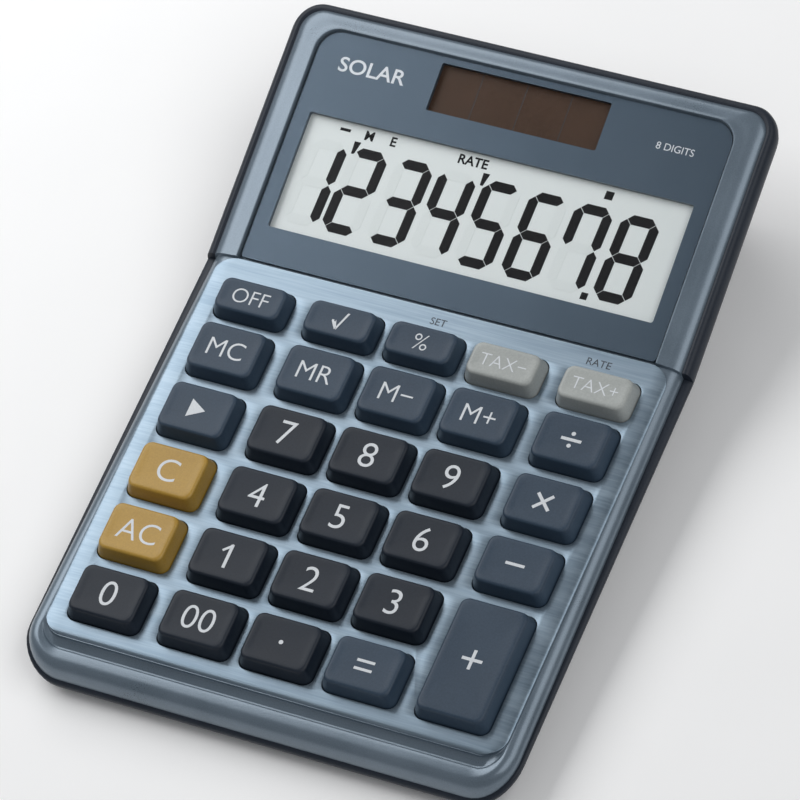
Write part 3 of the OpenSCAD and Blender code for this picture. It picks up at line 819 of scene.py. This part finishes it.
def letters(name, text, size, x, y, h, slope, thin=0.0, thick=0.03, stretch=1.0, bend=None):
    """Printed or inlaid lettering: a thin solid, centred on a place on a slope.
    bend gives the height of the surface under each point."""
    font = bpy.data.curves.new(name, "FONT")
    font.body = text
    font.size = size
    font.align_x = "CENTER"
    font.align_y = "CENTER"
    font.offset = -thin
    font.resolution_u = 6
    font.extrude = thick / 2
    source = bpy.data.objects.new(name, font)
    scene.collection.objects.link(source)
    bpy.context.view_layer.update()
    mesh = bpy.data.meshes.new_from_object(
        source.evaluated_get(bpy.context.evaluated_depsgraph_get()))
    bpy.data.objects.remove(source)
    bpy.data.curves.remove(font)
    build = bmesh.new()
    build.from_mesh(mesh)
    bpy.data.meshes.remove(mesh)
    bmesh.ops.remove_doubles(build, verts=build.verts, dist=0.0005)
    xs = [v.co.x for v in build.verts]
    ys = [v.co.y for v in build.verts]
    mid_x, mid_y = (min(xs) + max(xs)) / 2, (min(ys) + max(ys)) / 2
    for v in build.verts:
        px, py = (v.co.x - mid_x) * stretch, v.co.y - mid_y
        lift = h if bend is None else bend(px, py)
        v.co = slope @ Vector((x + px, y + py, v.co.z + lift))
    return new_piece(name, build)


def printed(piece, finish, body):
    """Gives lettering its ink and the body it moves with."""
    piece.data.materials.clear()
    piece.data.materials.append(finish)
    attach(piece, body)


for name, text, x in (("lcd_mark_m", "M", -27.8), ("lcd_mark_e", "E", -22.6),
                      ("lcd_mark_rate", "RATE", -5.4)):
    printed(letters(name, text, 2.7, x, 30.6, glass_top + 0.03, on_display, thin=-0.06),
            lcd_black, "case")
print_white = surface("print_white", (0.72, 0.75, 0.78), (0.8, 0.83, 0.86), (0.4, 0.5), 3000, 0.002)
printed(letters("window_text_left", "SOLAR", 4.3, -31.5, 43.2, -lens_t + 0.012, on_display,
                thin=-0.05, stretch=1.1), print_white, "case")
printed(letters("window_text_right", "8 DIGITS", 2.1, 33.5, 42.2, -lens_t + 0.012, on_display),
        print_white, "case")


# ---------------------------------------------------------------------------
# Face plate: thin anodised aluminium, brushed from side to side, with an
# opening for each key. Its sides and front edge are rolled down a little.
# ---------------------------------------------------------------------------
plate_low, plate_high = place_of("face_plate", on_keypad)
half_plate = plate_high.x
plate_r = 4.5
roll_w = 3.5
roll_h = 0.4
front_roll_w = 1.5
front_roll_h = 0.45
roll_steps = 6
plate_edge = 0.1
plate_mid = (plate_low.y + plate_high.y) / 2
plate_outline = [(x, plate_mid + y) for x, y in
                 rounded(plate_high.x - plate_low.x, plate_high.y - plate_low.y, plate_r)]
key_holes = [[(x + px, s + py) for px, py in rounded(w, d, opening_r, 5)]
             for x, s, w, d in key_openings]
face_plate = flat_sheet("face_plate_skin", [plate_outline] + key_holes, Matrix.Identity(4),
                        plate_low.z, plate_high.z, plate_edge)
build = bmesh.new()
build.from_mesh(face_plate.data)
for i in range(roll_steps):
    share = 1 - i / roll_steps
    x = half_plate - roll_w * share
    s = plate_low.y + front_roll_w * share
    for place, across in (((-x, 0, 0), (1, 0, 0)), ((x, 0, 0), (1, 0, 0)), ((0, s, 0), (0, 1, 0))):
        bmesh.ops.bisect_plane(build, geom=build.verts[:] + build.edges[:] + build.faces[:],
                               plane_co=place, plane_no=across, dist=1e-5)


def rolled(out, drop):
    """How far a rolled edge has dropped, out being 0 where it starts and 1 at its end."""
    return drop * (1 - math.sqrt(max(0.0, 1 - out * out)))


for v in build.verts:
    if v.co.z > -plate_t / 2:
        v.co.z -= max(rolled(max(0.0, (abs(v.co.x) - half_plate + roll_w) / roll_w), roll_h),
                      rolled(max(0.0, 1 - (v.co.y - plate_low.y) / front_roll_w), front_roll_h))
bmesh.ops.transform(build, matrix=on_keypad, verts=build.verts)
build.to_mesh(face_plate.data)
build.free()
plain(face_plate)
face_plate.data.materials.append(surface(
    "brushed_blue", (0.17, 0.228, 0.285), (0.26, 0.33, 0.395), (0.30, 0.40), 2600, 0.010,
    stretch=(0.03, 1, 1), patch=300, Metallic=0.85))
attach(face_plate, "case")
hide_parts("face_plate")

print_dark = surface("print_dark", (0.02, 0.028, 0.04), (0.03, 0.04, 0.055), (0.4, 0.5), 3000, 0.002)
for name, text, x in (("plate_text_middle", "SET", 0.2), ("plate_text_right", "RATE", 34.0)):
    printed(letters(name, text, 2.2, x, 90.6, 0.012, on_keypad), print_dark, "case")


# ---------------------------------------------------------------------------
# Keys: double-moulded plastic caps with a soft top edge and a shallow dish. A
# flange under the upper shell keeps each one in. The sign is moulded through
# the cap in a light plastic. Each cap moves on its own.
# ---------------------------------------------------------------------------
flange_t = 0.8
taper = 1.3
cap_edge = 0.7
dish = 0.16
key_r = 1.8
edge_turns = 6
straight_h = 0.2
corner_draw = 0.25
dish_rings = (0.9, 0.75, 0.55, 0.3)


def dish_depth(px, py, w, d):
    """How far the dish sinks under a point of the top."""
    out = min(1.0, (2 * px / w) ** 2 * 0.25 + (2 * py / d) ** 2)
    return dish * (1 - out)


def key_cap(name, x, s, w, d, top, foot):
    """One cap on its flange: straight to just over the plate, then tapering to its dish."""
    levels = [(w + flange_w, d + flange_d, key_r, foot),
              (w + flange_w, d + flange_d, key_r, foot + flange_t),
              (w, d, key_r, foot + flange_t), (w, d, key_r, straight_h)]
    for i in range(edge_turns + 1):
        a = math.radians(90 * i / edge_turns)
        inset = taper / 2 + cap_edge * (1 - math.cos(a))
        levels.append((w - 2 * inset, d - 2 * inset, key_r - corner_draw * math.sin(a),
                       top - cap_edge * (1 - math.sin(a))))
    top_w, top_d, top_r = levels[-1][0], levels[-1][1], levels[-1][2]
    build = bmesh.new()
    rows = [[build.verts.new((x + px, s + py, h)) for px, py in rounded(lw, ld, r, 6)]
            for lw, ld, r, h in levels]
    for share in dish_rings:
        rows.append([build.verts.new((x + px * share, s + py * share,
                                      top - dish_depth(px * share, py * share, top_w, top_d)))
                     for px, py in rounded(top_w, top_d, top_r, 6)])
    n = len(rows[0])
    for low, high in zip(rows, rows[1:]):
        for i in range(n):
            build.faces.new((low[i], low[(i + 1) % n], high[(i + 1) % n], high[i]))
    build.faces.new(rows[0][::-1])
    middle = build.verts.new((x, s, top - dish))
    for i in range(n):
        build.faces.new((rows[-1][i], rows[-1][(i + 1) % n], middle))
    bmesh.ops.transform(build, matrix=on_keypad, verts=build.verts)
    bmesh.ops.recalc_face_normals(build, faces=build.faces)
    return plain(new_piece(name, build), 50)


number_plastic = surface("number_plastic", (0.007, 0.012, 0.021), (0.012, 0.019, 0.031),
                         (0.36, 0.5), 2800, 0.015, Specular_IOR_Level=0.3)
function_plastic = surface("function_plastic", (0.024, 0.044, 0.072), (0.035, 0.060, 0.094),
                           (0.36, 0.5), 2800, 0.015, Specular_IOR_Level=0.35)
yellow_plastic = surface("yellow_plastic", (0.37, 0.215, 0.028), (0.45, 0.27, 0.042),
                         (0.32, 0.45), 2800, 0.015)
light_plastic = surface("light_plastic", (0.32, 0.34, 0.33), (0.40, 0.42, 0.405),
                        (0.32, 0.45), 2800, 0.015)
sign_plastic = surface("sign_plastic", (0.60, 0.63, 0.66), (0.68, 0.71, 0.74),
                       (0.35, 0.5), 3000, 0.005)
number_keys = ("0", "1", "2", "3", "4", "5", "6", "7", "8", "9", "00", "point")
signs = {"off": ("OFF", 4.6), "root": ("√", 5.6), "percent": ("%", 5.0),
         "tax_minus": ("TAX−", 3.9), "tax_plus": ("TAX+", 3.9),
         "mc": ("MC", 5.6), "mr": ("MR", 5.6), "m_minus": ("M−", 5.6), "m_plus": ("M+", 5.6),
         "divide": ("÷", 9.0), "shift": ("▶", 4.6), "multiply": ("×", 9.0),
         "minus": ("−", 8.5), "c": ("C", 7.0), "ac": ("AC", 6.4), "plus": ("+", 9.0),
         "point": ("•", 4.0), "equals": ("=", 8.0), "00": ("00", 7.2)}
for name, (x, s, w, d, top, foot) in keys.items():
    kind = name[len("key_"):]
    if kind in number_keys:
        finish, slot = number_plastic, "key_number"
    elif kind in ("c", "ac"):
        finish, slot = yellow_plastic, "key_yellow"
    elif kind.startswith("tax"):
        finish, slot = light_plastic, "key_light"
    else:
        finish, slot = function_plastic, "key_function"
    cap = key_cap(name + "_cap", x, s, w, d, top, foot)
    cap.data.materials.append(finish)
    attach(cap, name)
    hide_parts(name)
    text, size = signs.get(kind, (kind, 7.6))
    top_w, top_d = w - taper - 2 * cap_edge, d - taper - 2 * cap_edge
    sign = letters(name + "_sign", text, size, x, s, 0, on_keypad, thin=0.05, thick=0.04,
                   bend=lambda px, py: top - dish_depth(px, py, top_w, top_d) + 0.005)
    printed(sign, sign_plastic, name)
    # the flag of the one, which the plain typeface lacks
    if kind == "1":
        build = bmesh.new()
        solid([(x + px, s + py) for px, py in ((-1.7, 1.1), (-1.4, 0.75), (0.1, 1.95), (0.1, 2.7))],
              on_keypad, top - dish, top - dish / 3, build)
        printed(plain(new_piece(name + "_flag", build)), sign_plastic, name)


# ---------------------------------------------------------------------------
# Floor and light: a white floor, a large softbox above the left rear corner,
# a wide one overhead on the right, and a dim pale surround.
# ---------------------------------------------------------------------------
floor_reach = 3.0
floor_mesh = bpy.data.meshes.new("floor")
floor_mesh.from_pydata([(x * floor_reach, y * floor_reach, 0)
                        for x, y in ((-1, -1), (1, -1), (1, 1), (-1, 1))], [], [(0, 1, 2, 3)])
floor = bpy.data.objects.new("floor", floor_mesh)
scene.collection.objects.link(floor)
floor_mesh.materials.append(surface("floor_white", (0.97, 0.97, 0.97), (0.99, 0.99, 0.99),
                                    (0.7, 0.8), 40, 0.01, patch=3))
floor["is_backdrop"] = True


def softbox(name, across, along, height, brightness):
    """A level panel of light over the object, in metres, facing down."""
    width, depth = across[1] - across[0], along[1] - along[0]
    light = bpy.data.lights.new(name, "AREA")
    light.shape = "RECTANGLE"
    light.size = width
    light.size_y = depth
    light.energy = brightness * math.pi * width * depth
    lamp = bpy.data.objects.new(name, light)
    lamp.location = (sum(across) / 2, sum(along) / 2, height)
    scene.collection.objects.link(lamp)


softbox("left_light", (-0.9, -0.235), (-0.15, 0.95), 0.55, 3.0)
softbox("top_light", (0.35, 1.3), (-0.7, 0.7), 0.9, 1.7)
world = bpy.data.worlds.new("surround")
world.use_nodes = True
world.node_tree.nodes["Background"].inputs["Color"].default_value = (0.95, 0.97, 1, 1)
world.node_tree.nodes["Background"].inputs["Strength"].default_value = 0.25
scene.world = world
scene.view_settings.view_transform = "Standard"

low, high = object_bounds()
